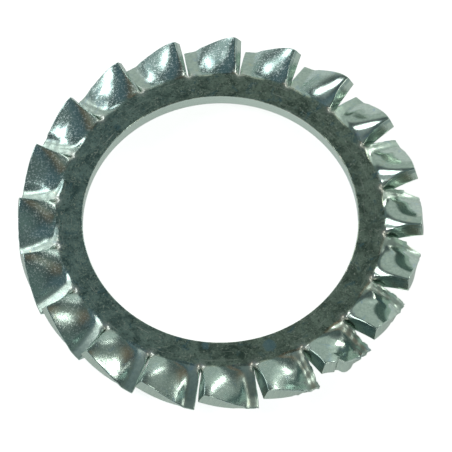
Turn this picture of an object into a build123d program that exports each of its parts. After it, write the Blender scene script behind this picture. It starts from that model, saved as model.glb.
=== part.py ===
from build123d import *
import os
from math import cos, radians, sin, sqrt, tan

# External serrated lock washer for an M24 bolt, one piece of spring steel: a flat ring
# with twenty overlapping teeth, each twisted about its own radial mid-line. Seen from
# either face, every tooth stands up on its clockwise side and dips on the other one.
# Millimetres, +Z up, origin on the bore axis in the plane that the lowest corners touch.

# ---- driving dimensions -------------------------------------------------------------
BORE_DIAMETER = 25.3            # clearance hole for an M24 bolt
OUTER_DIAMETER = 37.3           # over the outermost arris of every tooth
SHEET = 1.5                     # thickness of the strip
TEETH = 20
FIRST_TOOTH_ANGLE = 1.56        # mid-line of the first tooth, degrees from +X

ROOT_DIAMETER = 30.4            # across the flats where the teeth bend out of the ring
SLOT_MOUTH = 0.42               # between neighbouring teeth at the rim
SLOT_ROOT = 0.10                # and where they bend out of the ring
BORE_CHAMFER = 0.07             # broken edge round the bore

RAISED_CLIMB = 18.4             # degrees by which the raised edge climbs out of the ring
LOWERED_FALL = 28.8             # degrees by which the lowered edge falls away from it
CROWN = 0.25                    # bulge of a tooth half-way along its length

FOOT_WIDTH = 1.08               # nearly level foot along the lowered edge, at the rim
FOOT_RISE = 0.17
STEP_RUN = 0.30                 # short steep step from the foot to the main face
STEP_RISE = 0.50
FACE_BULGE = 0.29               # bulge of the main face across the tooth

CUT_LEAN = 22.0                 # degrees, the raised cut face looks upwards
FOOT_LEAN = 10.0                # degrees, the lowered cut face looks downwards
RIM_LEAN_RAISED = 6.0           # degrees, the rim looks upwards at the raised corner
RIM_LEAN_LOWERED = 27.0         # degrees, the rim looks downwards at the lowered corner
RAISED_THINNING = 0.25          # lost from the thickness at the raised outer corner

# Lowered corners that have broken off: tooth number, counted anticlockwise, with the
# length lost along the tooth and the width lost across it.
BROKEN_CORNERS = {0: (1.35, 0.45), 19: (1.40, 0.45)}

# ---- where a tooth's cross-sections are drawn, as shares of its length ---------------
SECTIONS = (0.0, 0.5, 1.1)

# ---- sizes worked out from them -----------------------------------------------------
outer_radius = OUTER_DIAMETER / 2
root_radius = ROOT_DIAMETER / 2
half_pitch = radians(180 / TEETH)
tooth_length = outer_radius - root_radius
raised_lift = tooth_length * tan(radians(RAISED_CLIMB))
lowered_drop = tooth_length * tan(radians(LOWERED_FALL))


def flank(x):
    """Half-width of the flat blank's tooth at x from the axis, along a slot's side."""
    slot = SLOT_ROOT + (SLOT_MOUTH - SLOT_ROOT) * (x - root_radius) / tooth_length
    return x * tan(half_pitch) - slot / 2 / cos(half_pitch)


def height(full, s):
    """Height of a line that climbs to the height full at the rim, with the crown on it."""
    return full * s + 4 * CROWN * s * (1 - s)


def settled(s):
    """Share of a full-length tooth's leans and slopes that is there at s: none at s = 0."""
    return 1 - (1 - s) ** 3


def sheet_depth(full, s):
    """Thickness measured straight down, where the sheet slopes along the tooth."""
    slope = (full + 4 * CROWN * (1 - 2 * s)) / tooth_length * settled(s)
    return SHEET * sqrt(1 + slope ** 2)


def section(s):
    """Cross-section of a tooth at share s of its length, square to its mid-line.

    It is drawn as seen from the axis: the raised, clockwise side to the right.
    """
    x = root_radius + s * tooth_length
    cut_lean = radians(CUT_LEAN) * settled(s)
    foot_lean = radians(FOOT_LEAN) * settled(s)
    narrowing = flank(x) / flank(outer_radius)
    raised_edge = 1 - RAISED_THINNING / SHEET * s ** 3
    bulge = 2 * FACE_BULGE * s

    lowered = (-flank(x), height(-lowered_drop, s))
    foot = (lowered[0] + FOOT_WIDTH * narrowing, height(FOOT_RISE - lowered_drop, s))
    step = (foot[0] + STEP_RUN * narrowing, height(STEP_RISE + FOOT_RISE - lowered_drop, s))
    raised = (flank(x) - SHEET * raised_edge * sin(cut_lean), height(raised_lift, s))
    over = ((step[0] + raised[0]) / 2, (step[1] + raised[1]) / 2 + bulge)
    under_raised = (flank(x),
                    raised[1] - raised_edge * cos(cut_lean) * sheet_depth(raised_lift, s))
    under_lowered = (lowered[0] + SHEET * sin(foot_lean),
                     lowered[1] - cos(foot_lean) * sheet_depth(-lowered_drop, s))
    under = ((under_raised[0] + under_lowered[0]) / 2,
             (under_raised[1] + under_lowered[1]) / 2 + bulge)

    outline = [
        Line(lowered, foot),
        Line(foot, step),
        Bezier(step, over, raised),
        Line(raised, under_raised),
        Bezier(under_raised, under, under_lowered),
        Line(under_lowered, lowered),
    ]
    across = Plane(origin=(x, 0, 0), x_dir=(0, -1, 0), z_dir=(-1, 0, 0))
    return across * make_face(Wire(outline))


def rim_cutter():
    """What lies outside the rim: its face turns from looking down to looking up."""
    low = -2 * (lowered_drop + SHEET)
    high = 2 * (raised_lift + CROWN)
    far = 2 * outer_radius
    raised_inset = SHEET * sin(radians(RIM_LEAN_RAISED))
    turn = RIM_LEAN_RAISED + RIM_LEAN_LOWERED
    profiles = []
    for across in (-0.2, 0.15, 0.5, 0.85, 1.2):
        y = (1 - 2 * across) * flank(outer_radius)
        lean = tan(radians(RIM_LEAN_RAISED - turn * (1 - across) ** 2))
        arris_x = sqrt((outer_radius - across * raised_inset) ** 2 - y ** 2)
        arris_z = across * raised_lift - (1 - across) * lowered_drop
        corners = [
            (arris_x - (high - arris_z) * lean, y, high),
            (arris_x - (low - arris_z) * lean, y, low),
            (far, y, low),
            (far, y, high),
        ]
        profiles.append(make_face(Polyline(*corners, close=True)))
    return loft(profiles)


def make_tooth():
    """One twisted tooth on the +X axis, from the flat of its root out to the rim."""
    return loft([section(share) for share in SECTIONS]) - rim_cutter()


def broken_corner(length, width):
    """What a broken lowered corner has lost, for a tooth on the +X axis."""
    inner = outer_radius - length
    edge = flank(inner)
    lost = Polyline(
        (inner, edge + SHEET),
        (inner, edge - width * 0.8),
        (inner + length * 0.25, edge - width),
        (outer_radius, edge - width * 0.1),
        (outer_radius + length, edge + SHEET),
        close=True,
    )
    return Pos(0, 0, -2 * lowered_drop - SHEET) * extrude(make_face(lost), 4 * lowered_drop)


def make_ring():
    """Flat ring with one flat per tooth: its corners close the slots between the teeth."""
    corner_radius = root_radius / cos(half_pitch)
    blank = RegularPolygon(corner_radius, TEETH, rotation=FIRST_TOOTH_ANGLE - 180 / TEETH)
    blank -= Circle(BORE_DIAMETER / 2)
    ring = Pos(0, 0, -SHEET) * extrude(blank, SHEET)
    return chamfer(ring.edges().filter_by(GeomType.CIRCLE), BORE_CHAMFER)


def make_washer():
    """Ring and teeth in one solid, standing on its lowest corners."""
    tooth = make_tooth()
    teeth = []
    for number in range(TEETH):
        this_tooth = tooth
        if number in BROKEN_CORNERS:
            this_tooth = tooth - broken_corner(*BROKEN_CORNERS[number])
        teeth.append(Rot(0, 0, FIRST_TOOTH_ANGLE + number * 360 / TEETH) * this_tooth)
    washer = make_ring().fuse(*teeth)
    return Pos(0, 0, -min(corner.Z for corner in washer.vertices())) * washer


if __name__ == "__main__":
    os.makedirs("parts", exist_ok=True)
    export_step(make_washer(), "parts/lock_washer.step")
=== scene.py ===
from math import cos, pi, radians, sin
from types import SimpleNamespace

import bmesh
import bpy
import numpy as np
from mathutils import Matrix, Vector


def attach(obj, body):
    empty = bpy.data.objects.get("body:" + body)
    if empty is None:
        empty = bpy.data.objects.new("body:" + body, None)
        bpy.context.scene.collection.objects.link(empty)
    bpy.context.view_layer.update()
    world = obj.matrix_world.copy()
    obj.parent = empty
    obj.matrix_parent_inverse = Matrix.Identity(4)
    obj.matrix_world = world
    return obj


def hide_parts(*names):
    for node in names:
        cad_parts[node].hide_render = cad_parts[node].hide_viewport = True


# External serrated lock washer in zinc-plated spring steel: one piece, a flat ring with
# twenty twisted teeth. Shapes are worked out in millimetres about the bore's axis, with the
# ring's upper face at z = 0, and put into the mesh in metres, in the CAD model's frame.
#
# The washer is divided into twenty sectors, numbered anticlockwise, with one tooth each:
#   x       distance from the axis along the tooth's mid-line
#   c       distance across it, towards the raised, clockwise edge
#   v       place across it, from -1 at the lowered edge to 1 at the raised edge
#   s       share of the tooth's length, 0 at the root and 1 at the rim
#   t       share of the sheet's depth, 0 on the upper and 1 on the lower face
#   along   place along the whole sector, from AT_BORE to AT_RIM

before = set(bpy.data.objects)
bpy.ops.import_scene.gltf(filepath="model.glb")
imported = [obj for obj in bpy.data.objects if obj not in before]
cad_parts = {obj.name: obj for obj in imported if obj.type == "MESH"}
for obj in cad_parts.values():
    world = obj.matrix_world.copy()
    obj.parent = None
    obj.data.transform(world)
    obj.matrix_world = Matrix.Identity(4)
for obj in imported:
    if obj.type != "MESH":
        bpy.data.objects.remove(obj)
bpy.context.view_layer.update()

MM = 0.001

# ---- the blank -------------------------------------------------------------------------
BORE_RADIUS = 12.65
OUTER_RADIUS = 18.62
SHEET = 1.5
TEETH = 20
FIRST_TOOTH_ANGLE = radians(1.56)
ROOT_X = 15.08                  # middle of the bend out of the ring, along the mid-line
SLOT_END_RADIUS = 15.2          # from the axis to the slots' ends
SLOT_NOSE = 0.04                # half-width of a slot at its round end
SLOT_MOUTH = 0.21               # half-width of a slot at the rim
SLOT_STOP = 1.1                 # s past the rim where a slot opens no further
RING_HEIGHT = 3.087             # upper face of the ring above the lowest corner

# ---- how a tooth is formed -------------------------------------------------------------
RAISED_LIFT = 1.148             # raised edge above the ring, at the rim
LOWERED_DROP = 1.897            # lowered edge below the ring, at the rim
BEND_REACH = 0.32               # how far the bend reaches to either side of ROOT_X
RAISED_CROWN = 0.29             # bulge along the raised edge, half-way to the rim
LOWERED_SINK = 0.08             # how far the lowered edge sinks at once, past the bend
FOOT_SINK = 0.12                # the same where the strip along that edge ends
FACE_SINK = 0.25                # and where the main face begins
FACE_BEND_RATE = 1.4            # above 1 the main face falls faster near the rim
FOOT_WIDTH = 1.08               # strip along the lowered edge, at the rim
FOOT_RISE = 0.22
STEP_RUN = 0.35                 # from the strip up to the main face
STEP_RISE = 0.46
STEP_SOFT = 0.18                # how far the step blends into its neighbours
ROOT_BULGE = 0.15               # bulge of the main face across the tooth, past the bend
RIM_BULGE = 0.30                # and at the rim
RIM_BULGE_RATE = 1.25           # above 1 that bulge grows faster near the rim
BULGE_SHIFT = 0.75              # how far the bulge leans towards the raised edge, 0 to 1
FACE_HOLLOW = 0.09              # dip beside the step, half-way to the rim
CUT_LEAN = radians(22.0)        # the raised cut face looks upwards
FOOT_LEAN = radians(10.0)       # the lowered cut face looks downwards
RIM_LEAN_RAISED = radians(6.0)  # the rim looks upwards at the raised corner
RIM_LEAN_LOWERED = radians(25.0)    # and downwards at the lowered corner
RIM_DEPTH = 1.6                 # depth through which the rim leans
RAISED_THINNING = 0.25          # lost from the thickness at the raised outer corner
JOINED_FROM = 0.70              # v from which a sector comes level with its neighbour
JOINED_WIDTH = 0.30             # how much of v that takes
JOINED_REACH = 0.25             # how far past the slots' ends it fades out

# ---- edges -----------------------------------------------------------------------------
ARRIS = 0.10                    # rounding of the cut edges
SLOT_ROLL = 0.42                # wider rounding about the end of a slot
SLOT_ROLL_REACH = 0.55          # how far about that end it reaches
DULL_AND_GLINT_PATCH = 0.42             # reach of the duller patch about the end of a slot, which is painted pale as a glint

# Lowered corners that have broken off: tooth number and the length lost along the tooth.
BROKEN_CORNERS = {0: 1.35, 19: 1.40}
BROKEN_WIDTH = 0.50             # width lost across the tooth
BROKEN_SLOPE = 0.12             # further width, over which the length comes back

# Teeth with a ragged, crumpled lowered edge: tooth number and the size of its raggedness.
RAGGED_EDGES = {0: 0.05, 1: 0.05, 6: 0.03, 7: 0.06, 8: 0.06, 9: 0.04, 10: 0.04,
                15: 0.03, 16: 0.10, 17: 0.14, 18: 0.12, 19: 0.05}
EVEN_EDGE = 0.012               # raggedness of all the other teeth
RAGGED_SLANT = 0.3              # how far the raggedness runs askew through the sheet
FOLD_HEIGHT = 0.3               # of the crumpled strip, as a share of the raggedness
WAVE_HEIGHT = 0.010             # gentle waves in every tooth

# Sines that make up a ragged line: weight, rate along the line and phase from tooth to tooth.
RAGGED_WAVES = [(1.0, 11, 2.3), (0.7, 29, 4.1), (0.5, 61, 1.7)]

# Pits (and one bead, with a depth below 0) in the upper face: tooth number, share of its
# length, place across it, depth and radius.
PITS = [
    (17, 0.80, -0.30, 0.16, 0.25),
    (0, 0.31, -0.66, 0.12, 0.16),
    (16, 0.97, -0.80, -0.14, 0.22),
]

# One tooth is bent and torn.
BENT_TOOTH = 17
BENT_SHORT = 0.45               # length lost at its raised corner
BENT_PLACE = 0.1                # v where that loss begins and where the rim droops most
BENT_DROOP = 0.35               # by which the foot of its rim is drawn out
BENT_DROOP_WIDTH = 0.4          # to either side, as v
BENT_LIFT = 0.40                # by which its lowered edge is bent up again
TEAR_DEPTH = 0.40               # tear in its rim
TEAR_PLACE = 0.42
TEAR_WIDTH = 0.08

HALF_PITCH = pi / TEETH
TOOTH_LENGTH = OUTER_RADIUS - ROOT_X
SLOT_START_X = SLOT_END_RADIUS * cos(HALF_PITCH)

# ---- grid lines ------------------------------------------------------------------------
AT_BORE, AT_SLOT_END, AT_ROOT, AT_RIM = 0.0, 1.0, 2.0, 3.0

# Distances of the first grid lines from an edge, close enough for its rounding.
EDGE_STEPS = np.array([0.0, 0.012, 0.03, 0.055, 0.085, 0.13, 0.18, 0.24, 0.32])
RING_SPAN = 2.4                 # about the ring's width, from the bore to the slots' ends
TOOTH_SPAN = 3.4                # about a tooth's length

# Shares of the way from a slot's end to the root, and of the tooth's length past the root.
SLOT_END_STEPS = np.array([0.0, 0.08, 0.25, 0.6])
BEND_STEPS = np.array([0.0, 0.012, 0.03, 0.05, 0.075, 0.105])

# How many lines a grid has away from the edges: along the ring, along a tooth, across them,
# and in all down through the sheet.
RING_LINES, TOOTH_LINES, FACE_LINES, DEPTH_LINES = 8, 20, 22, 7
WELD_DISTANCE = 2e-7            # metres, between points that are one
PLATED, CUT = 0, 1              # places of the two materials


def spread(start, end, count, edge_start, edge_end):
    """Grid stations from start to end: close together at the edges, even in between."""
    inner = np.linspace(start + edge_start[-1], end - edge_end[-1], count)
    return np.concatenate([start + edge_start[:-1], inner, end - edge_end[-2::-1]])


def smooth(x):
    """Zero below 0, one above 1, and 3x^2 - 2x^3 between."""
    x = np.clip(x, 0, 1)
    return x * x * (3 - 2 * x)


def bell(x):
    """One at 0, falling to both sides as e to the power of minus x squared."""
    return np.exp(-x ** 2)


def share_of_length(x):
    """Share s of a tooth's length that lies inside x; below 0 on the ring."""
    return (x - ROOT_X) / TOOTH_LENGTH


def flank(x):
    """Half-width of a sector at x from the axis: half the pitch, less half a slot, whose end
    is a quarter circle and which opens with the square of s."""
    into = np.clip(x - SLOT_START_X, 0, SLOT_NOSE)
    nose = np.sqrt(SLOT_NOSE ** 2 - (SLOT_NOSE - into) ** 2)
    opening = np.clip(share_of_length(x), 0, SLOT_STOP) ** 2 * (SLOT_MOUTH - SLOT_NOSE)
    return x * np.tan(HALF_PITCH) - (nose + opening) / np.cos(HALF_PITCH)


RIM_HALF_WIDTH = flank(OUTER_RADIUS)


# ---- lines along a tooth ---------------------------------------------------------------
def ramp(s):
    """Share of the full lift at share s of the length, less than 0 inside the root: 0, then
    a parabola through the bend, then straight to 1 at the rim."""
    bend = BEND_REACH / TOOTH_LENGTH
    parabola = np.clip(s + bend, 0, 2 * bend) ** 2 / (4 * bend)
    return np.where(s > bend, s, parabola)


def sinking(s):
    """Share of a line's early sink at share s: all of it past the bend, none at the rim."""
    past = (s * TOOTH_LENGTH + BEND_REACH) / (2 * BEND_REACH)
    return smooth(past) * (1 - np.clip(s, 0, 1))


def settled(s):
    """Share of the full leans that is there at share s: 1 less the cube of 1 - s."""
    return 1 - (1 - s) ** 3


def thinned(s):
    """Share of the sheet that is left along the raised edge: it loses with the cube of s."""
    return 1 - RAISED_THINNING / SHEET * s ** 3


def raised_line(s):
    """Height of the raised edge: the ramp up to the full lift, and a parabola on it."""
    return RAISED_LIFT * ramp(s) + 4 * RAISED_CROWN * ramp(s) * (1 - ramp(s))


def lowered_line(s):
    """Height of the lowered edge: the ramp down to the full drop, less the early sink."""
    return -LOWERED_DROP * ramp(s) - LOWERED_SINK * sinking(s)


def foot_line(s):
    """Height of the line where the strip along the lowered edge ends, made likewise."""
    return (FOOT_RISE - LOWERED_DROP) * ramp(s) - FOOT_SINK * sinking(s)


def face_line(s):
    """Height of the line where the main face begins: a power of the ramp, less the sink."""
    drop = LOWERED_DROP - FOOT_RISE - STEP_RISE
    return -drop * ramp(s) ** FACE_BEND_RATE - FACE_SINK * sinking(s)


def bent_up(s, number):
    """How much higher the bent tooth's strip is: it grows with the square of s."""
    return BENT_LIFT * np.clip(s, 0, 1) ** 2 * (number == BENT_TOOTH)


def bulge(s):
    """Bulge across a tooth at share s: a power of the ramp, and what is there at the root."""
    return RIM_BULGE * ramp(s) ** RIM_BULGE_RATE + ROOT_BULGE * sinking(s)


def sheet_depth(line, s):
    """Thickness measured straight down: the sheet times the root of 1 + slope squared."""
    step = 0.02
    slope = (line(s + step) - line(s - step)) / (2 * step * TOOTH_LENGTH)
    return SHEET * np.sqrt(1 + slope ** 2)


def cut_depths(s):
    """Heights of the cut faces at the lowered and the raised edge: the sheet measured
    straight down, times the cosine of the face's lean."""
    inner = np.clip(s, 0, 1)
    lowered = np.cos(FOOT_LEAN * settled(inner)) * sheet_depth(lowered_line, s)
    raised = thinned(inner) * np.cos(CUT_LEAN * settled(inner)) * sheet_depth(raised_line, s)
    return lowered, raised


# ---- what makes single teeth differ ----------------------------------------------------
def chosen(number, table, other=0.0):
    """Each tooth's value in a short table, or the other value where the table has none."""
    known = sum(value * (number == tooth) for tooth, value in table.items())
    return known + other * (1 - sum(number == tooth for tooth in table))


def ragged(place, number):
    """Uneven line from about -1 to 1: sines whose phases differ from tooth to tooth."""
    waves = [weight * np.sin(rate * place + phase * number)
             for weight, rate, phase in RAGGED_WAVES]
    return sum(waves) / sum(weight for weight, _, _ in RAGGED_WAVES)


def lost_length(v, t, number):
    """How much shorter a tooth is at v across it: a broken one at its lowered edge, the bent
    one at its raised corner and its tear, while the foot of its rim is drawn out."""
    from_edge = (v + 1) * RIM_HALF_WIDTH
    whole = smooth((from_edge - BROKEN_WIDTH) / BROKEN_SLOPE)
    broken = chosen(number, BROKEN_CORNERS) * (1 - whole)
    rough = chosen(number, RAGGED_EDGES, EVEN_EDGE) * ragged(2 * v, number)
    near_lowered_edge = 1 - smooth((v + 0.6) / 0.8)
    bent = BENT_SHORT * smooth((v - BENT_PLACE) / (1 - BENT_PLACE))
    bent = bent - BENT_DROOP * t * bell((v - BENT_PLACE) / BENT_DROOP_WIDTH)
    bent = bent + TEAR_DEPTH * bell((v - TEAR_PLACE) / TEAR_WIDTH)
    return broken + rough * near_lowered_edge + bent * (number == BENT_TOOTH)


def unevenness(s, v, number):
    """Height that makes no two teeth alike: gentle waves and crumpled strips, both made of
    sines along and across the tooth and fading out at the root, and bell-shaped pits."""
    waves = WAVE_HEIGHT * np.sin(5.1 * s + 2.3 * number) * np.sin(2.7 * v + 1.9 * number)
    folds = np.sin(24 * v + 4 * s) + 0.5 * np.sin(25 * s - 9 * v + number)
    on_strip = 1 - smooth((v + 0.6) / 0.3)
    crumpled = chosen(number, RAGGED_EDGES) * FOLD_HEIGHT * folds * on_strip
    height = (waves + crumpled) * smooth(s / 0.2)
    for tooth, at, across, depth, radius in PITS:
        away = np.hypot((s - at) * TOOTH_LENGTH, (v - across) * RIM_HALF_WIDTH)
        height = height - depth * bell(away / radius) * (number == tooth)
    return height


# ---- faces of a sector -----------------------------------------------------------------
def upper_face(x, v, number):
    """Height of the upper face: a strip, a step and a main face, all flat inside the bend.

    The strip is straight across. The main face is straight too, plus a parabola that leans
    towards the raised edge and less a dip beside the step, q times the square of 1 - q, with
    27/4 to make its greatest value 1. A smooth step blends from one to the other.
    """
    s = share_of_length(x)
    inner = np.clip(s, 0, 1)
    narrowing = flank(x) / RIM_HALF_WIDTH
    lowered_c = -flank(x)
    raised_c = flank(x) - SHEET * thinned(inner) * np.sin(CUT_LEAN * settled(inner))
    c = lowered_c + (v + 1) / 2 * (raised_c - lowered_c)
    foot_c = lowered_c + FOOT_WIDTH * narrowing
    step_c = foot_c + STEP_RUN * narrowing

    lowered_z = lowered_line(s) + bent_up(s, number)
    foot_z = foot_line(s) + bent_up(s, number)
    strip = lowered_z + (c - lowered_c) / (FOOT_WIDTH * narrowing) * (foot_z - lowered_z)

    q = (c - step_c) / (raised_c - step_c)
    leaning = q - BULGE_SHIFT * q * (1 - q)
    hollow = 27 / 4 * FACE_HOLLOW * q * (1 - q) ** 2 * 4 * ramp(s) * (1 - ramp(s))
    face = face_line(s) + q * (raised_line(s) - face_line(s))
    face = face + 4 * leaning * (1 - leaning) * bulge(s) - hollow
    on_face = smooth((c - foot_c + STEP_SOFT) / (step_c - foot_c + 2 * STEP_SOFT))
    return strip + (face - strip) * on_face + unevenness(s, v, number)


def lower_face(x, v, number):
    """Height of the lower face: straight across between the feet of the two cut faces, plus
    a parabola that follows the upper face's bulge."""
    s = share_of_length(x)
    across = (v + 1) / 2
    lowered_depth, raised_depth = cut_depths(s)
    lowered_z = lowered_line(s) + bent_up(s, number) - lowered_depth
    raised_z = raised_line(s) - raised_depth
    return lowered_z + across * (raised_z - lowered_z) + 4 * across * (1 - across) * bulge(s)


def face_heights(x, v, number):
    """Upper and lower face of a sector. Inside the slots' ends, where it joins its
    neighbours, its sides come to the mean height of the lowered and the raised edge."""
    s = share_of_length(x)
    upper_z = upper_face(x, v, number)
    lower_z = lower_face(x, v, number)
    joined = smooth((np.abs(v) - JOINED_FROM) / JOINED_WIDTH)
    joined = joined * (1 - smooth((x - SLOT_START_X) / JOINED_REACH))
    mean_z = (lowered_line(s) + bent_up(s, number) + raised_line(s)) / 2
    mean_depth = sum(cut_depths(s)) / 2
    upper_z = upper_z + joined * (mean_z - upper_z)
    lower_z = lower_z + joined * (mean_z - mean_depth - lower_z)
    return upper_z, lower_z


def tooth_plan(s, v, t, number):
    """Where a tooth's point lies in plan: at s of the way from the root to the rim, and at
    v's share of the way from the lowered to the raised flank. The rim is an arc about the
    axis. It leans with t, from looking down at the lowered corner to looking up at the
    raised one, and the flanks lean with t too."""
    across = (v + 1) / 2
    inset = SHEET * np.sin(RIM_LEAN_RAISED)
    lean = RIM_LEAN_RAISED - (RIM_LEAN_RAISED + RIM_LEAN_LOWERED) * (1 - across) ** 2
    rim_x = np.sqrt((OUTER_RADIUS - across * inset) ** 2 - (v * RIM_HALF_WIDTH) ** 2)
    rim_x = rim_x + t * RIM_DEPTH * np.tan(lean) - lost_length(v, t, number)
    x = ROOT_X + s * (rim_x - ROOT_X)
    inner = np.clip(share_of_length(x), 0, 1)
    leant = settled(inner)
    rough = chosen(number, RAGGED_EDGES, EVEN_EDGE) * ragged(s + RAGGED_SLANT * t, number)
    raised_c = flank(x) - (1 - t) * SHEET * thinned(inner) * np.sin(CUT_LEAN * leant)
    lowered_c = -flank(x) + t * SHEET * np.sin(FOOT_LEAN * leant) + rough * leant
    return x, lowered_c + across * (raised_c - lowered_c)


def sector_point(along, v, t, number):
    """Point of a sector in plan, and the heights of both faces there. The ring runs from the
    bore's arc to a straight line across the slots' ends, then straight on to the root."""
    inside = np.clip(along, AT_BORE, AT_SLOT_END)
    past_end = np.clip(along - AT_SLOT_END, 0, 1)
    slot_x = SLOT_START_X + past_end * (ROOT_X - SLOT_START_X)
    bore_x = BORE_RADIUS * np.cos(v * HALF_PITCH)
    bore_c = BORE_RADIUS * np.sin(v * HALF_PITCH)
    ring_x = bore_x + inside * (slot_x - bore_x)
    ring_c = bore_c + inside * (v * SLOT_START_X * np.tan(HALF_PITCH) - bore_c)
    tooth_x, tooth_c = tooth_plan(np.clip(along - AT_ROOT, 0, 1), v, t, number)
    x = np.where(along > AT_SLOT_END, slot_x, ring_x)
    c = np.where(along > AT_SLOT_END, v * flank(slot_x), ring_c)
    x = np.where(along > AT_ROOT, tooth_x, x)
    c = np.where(along > AT_ROOT, tooth_c, c)
    upper_z, lower_z = face_heights(x, v, number)
    return x, c, upper_z, lower_z


def edge_drop(x, c, v, along, t, number):
    """How far the rounding of the edges lowers a face: a quarter circle of the distances to
    the side and to the rim or bore. Its radius is wider about the end of a slot, where the
    sheet is drawn down."""
    far_away = 9.0
    ray_x, ray_c = cos(HALF_PITCH), sin(HALF_PITCH)
    slot_reach = SLOT_END_RADIUS + SLOT_NOSE
    beside = np.abs(c)
    on_ray = np.maximum(x * ray_x + beside * ray_c, slot_reach)
    to_slot = np.hypot(x - on_ray * ray_x, beside - on_ray * ray_c) - SLOT_NOSE
    from_end = np.hypot(x - slot_reach * ray_x, beside - slot_reach * ray_c)
    radius = ARRIS + (SLOT_ROLL - ARRIS) * np.exp(-(from_end / SLOT_ROLL_REACH) ** 4)

    on_tooth = along > AT_ROOT
    side_v = np.where(v < 0, -1.0, 1.0)
    side_c = np.abs(sector_point(along, side_v, t, number)[1])
    rim_x = sector_point(np.full_like(along, AT_RIM), v, t, number)[0]
    to_side = np.where(on_tooth, side_c - beside, to_slot)
    to_rim = np.where(on_tooth, rim_x - x, far_away)
    to_bore = np.hypot(x, c) - BORE_RADIUS
    into_side = np.clip(radius - to_side, 0, radius)
    into_end = np.clip(radius - np.minimum(to_rim, to_bore), 0, radius)
    return radius - np.sqrt(np.clip(radius ** 2 - into_side ** 2 - into_end ** 2, 0, None))


# ---- the shell -------------------------------------------------------------------------
def sector_grid(along, v, t):
    """One grid, repeated for every sector: its points, its quads and its surface values,
    which are along, across, depth and the nearness to a slot's end. A point's height runs
    straight from the upper to the lower face with t."""
    along, v, t = np.broadcast_arrays(along, v, t)
    shape = (TEETH,) + along.shape
    along, v, t = (np.broadcast_to(part, shape) for part in (along, v, t))
    number = np.arange(TEETH)[:, None, None]
    upper, lower = np.zeros(shape), np.ones(shape)
    upper_x, upper_c, upper_z, _ = sector_point(along, v, upper, number)
    lower_x, lower_c, _, lower_z = sector_point(along, v, lower, number)
    upper_z = upper_z - edge_drop(upper_x, upper_c, v, along, upper, number)
    lower_z = lower_z + edge_drop(lower_x, lower_c, v, along, lower, number)
    x, c, _, _ = sector_point(along, v, t, number)
    z = upper_z + t * (lower_z - upper_z)

    turn = FIRST_TOOTH_ANGLE + number * 2 * HALF_PITCH
    place = [x * np.cos(turn) + c * np.sin(turn), x * np.sin(turn) - c * np.cos(turn), z]
    end_x, end_c = SLOT_END_RADIUS * cos(HALF_PITCH), SLOT_END_RADIUS * sin(HALF_PITCH)
    # nearness to a slot's end: it makes the finish duller there and carries the painted glint
    slot_end = np.exp(-((x - end_x) ** 2 + (np.abs(c) - end_c) ** 2) / DULL_AND_GLINT_PATCH ** 2)
    index = np.arange(np.prod(shape)).reshape(shape)
    corners = [index[:, :-1, :-1], index[:, 1:, :-1], index[:, 1:, 1:], index[:, :-1, 1:]]
    points = np.stack(place, -1).reshape(-1, 3)
    values = np.stack([along, v, t, slot_end], -1).reshape(-1, 4)
    return points, np.stack(corners, -1).reshape(-1, 4), values


def washer_shell():
    """Points, quads, surface values and materials' places of the shell: upper and lower
    face, bore wall, rims and slot walls."""
    bore_steps, slot_steps = EDGE_STEPS[:5] / RING_SPAN, EDGE_STEPS / RING_SPAN
    rim_steps = EDGE_STEPS[:6] / TOOTH_SPAN
    side_steps = EDGE_STEPS / RIM_HALF_WIDTH
    rows = np.concatenate([
        spread(AT_BORE, AT_SLOT_END, RING_LINES, bore_steps, slot_steps)[:-1],
        AT_SLOT_END + SLOT_END_STEPS,
        AT_ROOT + spread(0.0, 1.0, TOOTH_LINES, BEND_STEPS, rim_steps),
    ])
    columns = spread(-1.0, 1.0, FACE_LINES, side_steps, side_steps)
    depths = np.linspace(0, 1, DEPTH_LINES)
    face_along, face_v = np.meshgrid(rows, columns, indexing="ij")
    end_v, end_t = np.meshgrid(columns, depths, indexing="ij")
    wall_along, wall_t = np.meshgrid(rows[rows >= AT_SLOT_END], depths, indexing="ij")

    grids = [
        (face_along, face_v, 0.0, PLATED),
        (face_along, face_v, 1.0, PLATED),
        (AT_BORE, end_v, end_t, CUT),
        (AT_RIM, end_v, end_t, CUT),
        (wall_along, 1.0, wall_t, CUT),
        (wall_along, -1.0, wall_t, CUT),
    ]
    points, quads, values, kinds = [], [], [], []
    for along, v, t, kind in grids:
        grid_points, grid_quads, grid_values = sector_grid(along, v, t)
        quads.append(grid_quads + sum(len(part) for part in points))
        points.append(grid_points)
        values.append(grid_values)
        kinds.append(np.full(len(grid_quads), kind))
    return [np.concatenate(part) for part in (points, quads, values, kinds)]


def make_washer():
    """The washer as one closed mesh, with its surface values kept as attributes."""
    points, quads, values, kinds = washer_shell()
    points[:, 2] += RING_HEIGHT
    mesh = bpy.data.meshes.new("toothed_washer")
    mesh.vertices.add(len(points))
    mesh.vertices.foreach_set("co", (points * MM).astype(np.float32).ravel())
    mesh.loops.add(quads.size)
    mesh.loops.foreach_set("vertex_index", quads.ravel().astype(np.int32))
    mesh.polygons.add(len(quads))
    mesh.polygons.foreach_set("loop_start", np.arange(0, quads.size, 4, dtype=np.int32))
    mesh.polygons.foreach_set("use_smooth", np.ones(len(quads), bool))
    mesh.polygons.foreach_set("material_index", kinds.astype(np.int32))
    for column, name in enumerate(["along", "across", "depth", "slot_end"]):
        attribute = mesh.attributes.new(name, "FLOAT", "POINT")
        attribute.data.foreach_set("value", values[:, column].astype(np.float32))
    mesh.update(calc_edges=True)

    shell = bmesh.new()
    shell.from_mesh(mesh)
    bmesh.ops.remove_doubles(shell, verts=shell.verts, dist=WELD_DISTANCE)
    bmesh.ops.recalc_face_normals(shell, faces=shell.faces)
    shell.to_mesh(mesh)
    shell.free()
    washer = bpy.data.objects.new("toothed_washer", mesh)
    bpy.context.scene.collection.objects.link(washer)
    return washer
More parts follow.
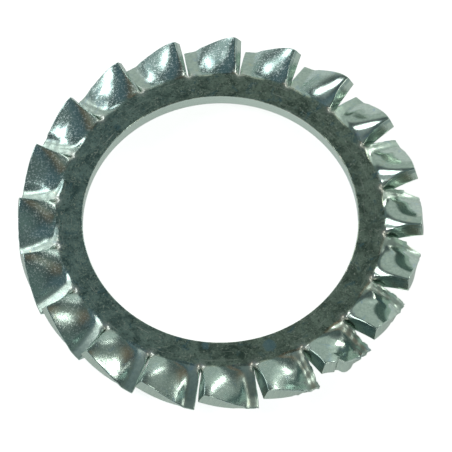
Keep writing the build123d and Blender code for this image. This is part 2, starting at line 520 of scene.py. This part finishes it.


# ---- finish ----------------------------------------------------------------------------
# Colours of the ring, of the teeth with painted shade and glint specks in their grain, of a
# painted glint about the slots' ends, and of the cut faces.
RING_DARK_GREEN = (0.14, 0.20, 0.16, 1)
RING_PALE_GREEN = (0.62, 0.72, 0.58, 1)
RING_DARK_BLUE = (0.12, 0.21, 0.21, 1)
RING_PALE_BLUE = (0.58, 0.75, 0.69, 1)
RING_HAZE = (0.22, 0.38, 0.42, 1)
PALE_SPECK = (0.74, 0.83, 0.68, 1)
DARK_SPECK = (0.13, 0.18, 0.15, 1)
BRIGHT_FLECK = (1.0, 1.0, 0.86, 1)
BRIGHT_SCRATCH = (1.0, 1.0, 0.9, 1)
BLUE_STAIN = (0.34, 0.56, 0.66, 1)
TOOTH_DARK = (0.52, 0.66, 0.59, 1)
TOOTH_PALE = (0.68, 0.82, 0.73, 1)
TOOTH_HAZE = (0.48, 0.64, 0.68, 1)
TOOTH_YELLOW = (0.74, 0.78, 0.60, 1)
# painted shade: a darker teal laid on the grain, which darkens the teeth on the -X side
TOOTH_GRAIN_PAINTED_SHADE = (0.34, 0.53, 0.51, 1)
# painted glint: pale specks in the grain
PAINTED_GRAIN_GLINT = (0.86, 1.0, 0.97, 1)
# painted glint: near-white colour about the slots' ends stands in for their highlights
PAINTED_SLOT_END_GLINT = (1.0, 1.0, 0.93, 1)
SHEARED_DARK = (0.36, 0.48, 0.44, 1)
SHEARED_LINE = (0.68, 0.78, 0.71, 1)
TORN_DARK = (0.50, 0.63, 0.56, 1)
TORN_LINE = (0.62, 0.74, 0.64, 1)
BORE_WALL = (0.74, 0.88, 0.80, 1)

# Bluish stains on the ring: place and radius in millimetres.
STAINS = [(4.24, -13.05, 0.70), (-1.5, -12.96, 0.45)]
STAIN_FADE = 0.25               # further radius, over which a stain fades out
SCRATCH_WIDTH = 0.10
SCRATCH_ANGLE = 1 / 6           # radians, about the length of a scratch round the axis


class Nodes:
    """A material's or world's node tree, with short calls to add and link its nodes."""

    def __init__(self, tree):
        self.tree = tree

    def add(self, kind, inputs=(), **settings):
        """A new node; its inputs are given by name or place, as a value or as a socket."""
        node = self.tree.nodes.new(kind)
        for name, value in settings.items():
            setattr(node, name, value)
        for place, value in dict(inputs).items():
            self.put(node.inputs[place], value)
        return node

    def put(self, socket, value):
        """Give a socket a value, or link another node's output to it."""
        if isinstance(value, bpy.types.NodeSocket):
            self.tree.links.new(value, socket)
        else:
            socket.default_value = value

    def math(self, operation, *values):
        """Result of a calculation with up to three values."""
        return self.add("ShaderNodeMath", enumerate(values), operation=operation).outputs[0]

    def step(self, value, low, high):
        """Smooth step of a value: 0 at low, 1 at high. Low may be the greater one."""
        node = self.add("ShaderNodeMapRange", {0: value, 1: low, 2: high})
        node.interpolation_type = "SMOOTHSTEP"
        return node.outputs[0]

    def span(self, value, low, high, at_low, at_high):
        """Value that runs straight from at_low, at the input low, to at_high."""
        return self.add("ShaderNodeMapRange", {0: value, 1: low, 2: high, 3: at_low,
                                               4: at_high}).outputs[0]

    def blend(self, share, first, second):
        """Colour between two colours: the first at share 0, the second at 1."""
        return self.add("ShaderNodeMix", {0: share, 6: first, 7: second},
                        data_type="RGBA").outputs[2]

    def noise(self, place, size_mm, detail=3.0, roughness=0.5, distortion=0.0):
        """Noise with features of about the given size."""
        inputs = {"Vector": place, "Scale": 1 / (size_mm * MM), "Detail": detail,
                  "Roughness": roughness, "Distortion": distortion}
        return self.add("ShaderNodeTexNoise", inputs).outputs[0]

    def attribute(self, name):
        """One of the mesh's surface values."""
        return self.add("ShaderNodeAttribute", attribute_name=name).outputs["Fac"]

    def bump(self, height, strength, depth_mm):
        """Normals of a fine relief, of the given depth."""
        inputs = {"Height": height, "Strength": strength, "Distance": depth_mm * MM}
        return self.add("ShaderNodeBump", inputs).outputs[0]


def new_metal(name):
    """A new metallic material, its nodes and its shader."""
    material = bpy.data.materials.new(name)
    material.use_nodes = True
    shader = material.node_tree.nodes["Principled BSDF"]
    shader.inputs["Metallic"].default_value = 1.0
    return material, Nodes(material.node_tree), shader


def plated_patterns(nodes):
    """Values at a point of the plating that its parts share. Of the noises, clouds and hue
    are coarse, flecks and grain fine. Unrubbed is 0 on the +X side of the washer."""
    place = nodes.add("ShaderNodeTexCoord").outputs["Object"]
    axes = nodes.add("ShaderNodeSeparateXYZ", {0: place}).outputs
    return SimpleNamespace(
        place=place,
        x=axes["X"],
        y=axes["Y"],
        on_tooth=nodes.step(nodes.attribute("along"), 0.95, 2.1),
        on_strip=nodes.step(nodes.attribute("across"), -0.45, -0.6),
        unrubbed=nodes.step(axes["X"], 12 * MM, 6 * MM),
        clouds=nodes.noise(place, 1.3, 6.0, 0.72, 0.5),
        hue=nodes.noise(place, 0.9, 3.0, 0.6, 0.8),
        flecks=nodes.noise(place, 0.30, 3.0, 0.7),
        grain=nodes.noise(place, 0.16, 2.0, 0.6),
    )


def scratches(nodes, here):
    """Share of fine curved lines round the axis: noise drawn out along the circles."""
    squared_y = nodes.math("MULTIPLY", here.y, here.y)
    radius = nodes.math("SQRT", nodes.math("MULTIPLY_ADD", here.x, here.x, squared_y))
    radius = nodes.math("MULTIPLY", radius, 1 / (SCRATCH_WIDTH * MM))
    angle = nodes.math("MULTIPLY", nodes.math("ARCTAN2", here.y, here.x), 1 / SCRATCH_ANGLE)
    stretched = nodes.add("ShaderNodeCombineXYZ", {0: radius, 1: angle}).outputs[0]
    wander = nodes.add("ShaderNodeTexNoise", {"Vector": stretched, "Scale": 1.0,
                                              "Detail": 1.0, "Distortion": 1.5})
    return nodes.step(wander.outputs[0], 0.66, 0.72)


def ring_colour(nodes, here):
    """Mottled ring, bluer on the -X side, with a haze, pale and dark specks in patches,
    bright flecks and scratches, and the stains."""
    mottle = nodes.step(here.clouds, 0.30, 0.66)
    green = nodes.blend(mottle, RING_DARK_GREEN, RING_PALE_GREEN)
    blue = nodes.blend(mottle, RING_DARK_BLUE, RING_PALE_BLUE)
    colour = nodes.blend(nodes.step(here.x, -14 * MM, 4 * MM), blue, green)
    colour = nodes.blend(nodes.step(here.hue, 0.56, 0.72), colour, RING_HAZE)

    patches = nodes.step(nodes.noise(here.place, 1.1, 3.0, 0.6, 1.0), 0.42, 0.60)
    pale_specks = nodes.math("MULTIPLY", nodes.step(here.grain, 0.50, 0.68), patches)
    off_patches = nodes.span(patches, 0, 1, 1, 0.3)
    dark_specks = nodes.math("MULTIPLY", nodes.step(here.grain, 0.46, 0.30), off_patches)
    colour = nodes.blend(pale_specks, colour, PALE_SPECK)
    colour = nodes.blend(dark_specks, colour, DARK_SPECK)
    colour = nodes.blend(nodes.step(here.flecks, 0.60, 0.70), colour, BRIGHT_FLECK)
    scratched = nodes.math("MULTIPLY", scratches(nodes, here), 0.8)
    colour = nodes.blend(scratched, colour, BRIGHT_SCRATCH)
    for x, y, radius in STAINS:
        centre = (x * MM, y * MM, RING_HEIGHT * MM)
        away = nodes.add("ShaderNodeVectorMath", {0: here.place, 1: centre},
                         operation="DISTANCE").outputs["Value"]
        away = nodes.math("MULTIPLY_ADD", here.flecks, 0.5 * MM, away)
        outside = nodes.step(away, radius * MM, (radius + STAIN_FADE) * MM)
        colour = nodes.blend(nodes.span(outside, 0, 1, 0.35, 1), BLUE_STAIN, colour)
    return colour


def tooth_colour(nodes, here, grainy_painted_shade, painted_glint_specks):
    """Pale teeth with bluish and yellowish places; on the grain, painted shade and painted
    glint specks.
    """
    colour = nodes.blend(nodes.step(here.flecks, 0.30, 0.70), TOOTH_DARK, TOOTH_PALE)
    colour = nodes.blend(nodes.step(here.hue, 0.56, 0.74), colour, TOOTH_HAZE)
    colour = nodes.blend(nodes.step(here.clouds, 0.60, 0.72), colour, TOOTH_YELLOW)
    # painted shade: the grain's darker teal darkens the teeth on the -X side
    colour = nodes.blend(nodes.math("MULTIPLY", grainy_painted_shade, 0.55), colour, TOOTH_GRAIN_PAINTED_SHADE)
    # painted glint: pale specks on the grain
    return nodes.blend(painted_glint_specks, colour, PAINTED_GRAIN_GLINT)


def plated_face():
    """Rolled and formed faces: a dull mottled ring and glossy teeth. The teeth on the +X side
    are rubbed smooth. The others keep a fine grain, with painted shade and pale glint specks
    in it, but less of it on the -Y side and none on the duller strip along the lowered edge.
    About the slots' ends all is dull, and painted pale as a glint."""
    material, nodes, shader = new_metal("zinc_plated_face")
    here = plated_patterns(nodes)
    slot_end = nodes.attribute("slot_end")
    grainy_painted_shade = nodes.math("MULTIPLY", here.unrubbed, nodes.span(here.on_strip, 0, 1, 1, 0))
    by_side = nodes.span(here.y, -14 * MM, -4 * MM, 0.35, 1)
    grainy_painted_shade = nodes.math("MULTIPLY", grainy_painted_shade, by_side)
    # specks of the grain: rougher, and painted pale as glint
    painted_glint_specks = nodes.math("MULTIPLY", nodes.step(here.grain, 0.52, 0.64), grainy_painted_shade)

    tooth = tooth_colour(nodes, here, grainy_painted_shade, painted_glint_specks)
    colour = nodes.blend(here.on_tooth, ring_colour(nodes, here), tooth)
    # painted glint: the slots' ends are painted near white, on top of their duller finish
    colour = nodes.blend(nodes.math("MULTIPLY", slot_end, 0.9), colour, PAINTED_SLOT_END_GLINT)
    nodes.put(shader.inputs["Base Color"], colour)

    ring_roughness = nodes.span(here.clouds, 0.3, 0.7, 0.30, 0.20)
    tooth_roughness = nodes.span(here.unrubbed, 0, 1, 0.15, 0.22)
    tooth_roughness = nodes.math("MULTIPLY_ADD", painted_glint_specks, 0.16, tooth_roughness)
    tooth_roughness = nodes.math("MULTIPLY_ADD", here.on_strip, 0.14, tooth_roughness)
    mixed = {0: here.on_tooth, 2: ring_roughness, 3: tooth_roughness}
    roughness = nodes.add("ShaderNodeMix", mixed, data_type="FLOAT").outputs[0]
    roughness = nodes.math("MULTIPLY_ADD", slot_end, 0.16, roughness)
    nodes.put(shader.inputs["Roughness"], roughness)

    waves = nodes.noise(here.place, 0.8, 3.0, 0.6)
    relief = nodes.math("MULTIPLY_ADD", waves, 1.5, here.grain)
    unrubbed_tooth = nodes.math("MULTIPLY", here.unrubbed, here.on_tooth)
    strength = nodes.span(unrubbed_tooth, 0, 1, 0.15, 1.0)
    nodes.put(shader.inputs["Normal"], nodes.bump(relief, strength, 0.006))
    return material


def sheared_edge():
    """Cut faces with fine lines down through the sheet: a dark upper part, and below it a
    paler one, which covers the whole rim too. The bore wall is paler still."""
    material, nodes, shader = new_metal("zinc_plated_cut_face")
    place = nodes.add("ShaderNodeTexCoord").outputs["Object"]
    along = nodes.attribute("along")
    depth = nodes.attribute("depth")
    around = nodes.math("MULTIPLY_ADD", nodes.attribute("across"), 0.8, along)
    drawn_out = nodes.math("MULTIPLY", depth, 0.06)
    stretched = nodes.add("ShaderNodeCombineXYZ", {0: around, 1: drawn_out}).outputs[0]
    lines = nodes.add("ShaderNodeTexNoise", {"Vector": stretched, "Scale": 26.0,
                                             "Detail": 3.0, "Roughness": 0.7}).outputs[0]

    cloud = nodes.noise(place, 0.5, 3.0, 0.6)
    lower = nodes.step(nodes.math("MULTIPLY_ADD", cloud, 0.3, depth), 0.38, 0.54)
    in_bore = nodes.step(along, 0.6, 0.2)
    on_rim = nodes.step(along, 2.985, 2.999)
    lower = nodes.math("MAXIMUM", lower, nodes.math("MAXIMUM", in_bore, on_rim))
    upper_colour = nodes.blend(nodes.step(lines, 0.54, 0.68), SHEARED_DARK, SHEARED_LINE)
    lower_colour = nodes.blend(nodes.step(lines, 0.35, 0.75), TORN_DARK, TORN_LINE)
    colour = nodes.blend(lower, upper_colour, lower_colour)
    colour = nodes.blend(in_bore, colour, BORE_WALL)
    nodes.put(shader.inputs["Base Color"], colour)
    nodes.put(shader.inputs["Roughness"], nodes.span(lower, 0, 1, 0.30, 0.24))
    nodes.put(shader.inputs["Normal"], nodes.bump(lines, 0.6, 0.02))
    return material


washer = make_washer()
washer.data.materials.append(plated_face())
washer.data.materials.append(sheared_edge())
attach(washer, "root")
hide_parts("lock_washer")


# ---- floor, light and camera, in metres ------------------------------------------------
FLOOR_REACH = 3.0
PAPER = (0.85, 0.85, 0.85, 1)
PAPER_GLOW = 0.80               # added to the paper for the camera
MIRRORED_GLOW = 0.25            # and for the metal that mirrors it

LAMP_DISTANCE = 0.5
DAYLIGHT = (1, 1, 1)
WARM_LIGHT = (1, 0.96, 0.90)

# Soft lamps: name, azimuth and elevation in degrees, width, height, radiance and colour.
LAMPS = [
    ("left_window", -90, 36, 0.18, 0.15, 4.0, DAYLIGHT),
    ("far_window", -41, 34, 0.12, 0.19, 3.4, DAYLIGHT),
    ("right_window", 50, 28, 0.09, 0.09, 5.5, WARM_LIGHT),
    ("side_lamp", 120, 39, 0.13, 0.13, 5.0, WARM_LIGHT),
]

# Soft fields of light in the room: azimuth, elevation, half-angle where the field is full
# and half-angle where it has faded out, in degrees, and its colour.
ROOM_FIELDS = [
    (8, 6, 33, 40, (0.37, 0.39, 0.36)),
    (0, 64, 14, 30, (0.06, 0.08, 0.07)),
    (-72, 27, 10, 30, (0.34, 0.36, 0.36)),
    (-50, 20, 6, 16, (0.26, 0.27, 0.27)),
    (52, 18, 12, 32, (0.26, 0.27, 0.25)),
    (100, 42, 8, 30, (0.15, 0.16, 0.14)),
    (-120, 72, 8, 28, (0.04, 0.07, 0.09)),
    (-140, 34, 10, 35, (0.08, 0.09, 0.085)),
    (78, 16, 8, 22, (0.12, 0.12, 0.11)),
    (175, 34, 11, 30, (0.07, 0.095, 0.085)),
    (100, 69, 6, 20, (0.12, 0.05, 0.01)),
]
ROOM_SHADE = (0.065, 0.08, 0.085)

SENSOR_WIDTH = 36.0             # millimetres, like the lens
LENS = 244.52
CAMERA_PLACE = (0.0, -127.711 * MM, 253.563 * MM)
CAMERA_TURN = (radians(26.83587), radians(0.28671), radians(-0.79554))


def make_floor():
    """White paper that takes the washer's shadow. A glow brings it near to white for the
    camera, and the metal mirrors it with a weaker glow."""
    mesh = bpy.data.meshes.new("floor")
    reach = FLOOR_REACH
    corners = [(-reach, -reach, 0), (reach, -reach, 0), (reach, reach, 0), (-reach, reach, 0)]
    mesh.from_pydata(corners, [], [(0, 1, 2, 3)])
    floor = bpy.data.objects.new("floor", mesh)
    bpy.context.scene.collection.objects.link(floor)
    material = bpy.data.materials.new("white_paper")
    material.use_nodes = True
    material.node_tree.nodes.clear()
    nodes = Nodes(material.node_tree)
    path = nodes.add("ShaderNodeLightPath").outputs
    mirrored = nodes.math("MAXIMUM", path["Is Glossy Ray"], path["Is Transmission Ray"])
    strength = nodes.math("MULTIPLY", path["Is Camera Ray"], PAPER_GLOW)
    strength = nodes.math("MULTIPLY_ADD", mirrored, MIRRORED_GLOW, strength)
    glow = nodes.add("ShaderNodeEmission", {"Color": (1, 1, 1, 1), "Strength": strength})
    paper = nodes.add("ShaderNodeBsdfDiffuse", {"Color": PAPER})
    both = nodes.add("ShaderNodeAddShader", {0: glow.outputs[0], 1: paper.outputs[0]})
    nodes.add("ShaderNodeOutputMaterial", {"Surface": both.outputs[0]})
    mesh.materials.append(material)


def direction(azimuth, elevation):
    """Unit vector; azimuth 0 points away from the camera and 90 degrees to its right."""
    a, e = radians(azimuth), radians(elevation)
    return Vector((sin(a) * cos(e), cos(a) * cos(e), sin(e)))


def make_lamp(name, azimuth, elevation, width, height, radiance, colour):
    """Rectangular soft lamp, aimed at the washer."""
    outwards = direction(azimuth, elevation)
    data = bpy.data.lights.new(name, "AREA")
    data.shape = "RECTANGLE"
    data.size, data.size_y = width, height
    data.energy = radiance * pi * width * height
    data.color = colour
    lamp = bpy.data.objects.new(name, data)
    lamp.location = outwards * LAMP_DISTANCE
    lamp.rotation_mode = "QUATERNION"
    lamp.rotation_quaternion = outwards.to_track_quat("Z", "Y")
    bpy.context.scene.collection.objects.link(lamp)


def make_world():
    """Dim blue-green room with soft fields of light, added up by direction."""
    world = bpy.data.worlds.new("room")
    world.use_nodes = True
    nodes = Nodes(world.node_tree)
    heading = nodes.add("ShaderNodeTexCoord").outputs["Generated"]
    total = ROOM_SHADE
    for azimuth, elevation, full, faded, colour in ROOM_FIELDS:
        towards = direction(azimuth, elevation)
        facing = nodes.add("ShaderNodeVectorMath", {0: heading, 1: towards},
                           operation="DOT_PRODUCT").outputs["Value"]
        share = nodes.step(facing, cos(radians(faded)), cos(radians(full)))
        light = nodes.add("ShaderNodeVectorMath", {0: colour, 3: share},
                          operation="SCALE").outputs[0]
        total = nodes.add("ShaderNodeVectorMath", {0: total, 1: light},
                          operation="ADD").outputs[0]
    background = world.node_tree.nodes["Background"]
    nodes.put(background.inputs["Color"], total)
    bpy.context.scene.world = world


def make_camera():
    """Camera with a long lens, above the near side of the washer."""
    data = bpy.data.cameras.new("camera")
    data.sensor_width = SENSOR_WIDTH
    data.lens = LENS
    data.clip_start, data.clip_end = 0.01, 20
    camera = bpy.data.objects.new("camera", data)
    camera.location = CAMERA_PLACE
    camera.rotation_euler = CAMERA_TURN
    bpy.context.scene.collection.objects.link(camera)
    bpy.context.scene.camera = camera


make_floor()
for lamp_settings in LAMPS:
    make_lamp(*lamp_settings)
make_world()
make_camera()
bpy.context.scene.view_settings.view_transform = "Standard"
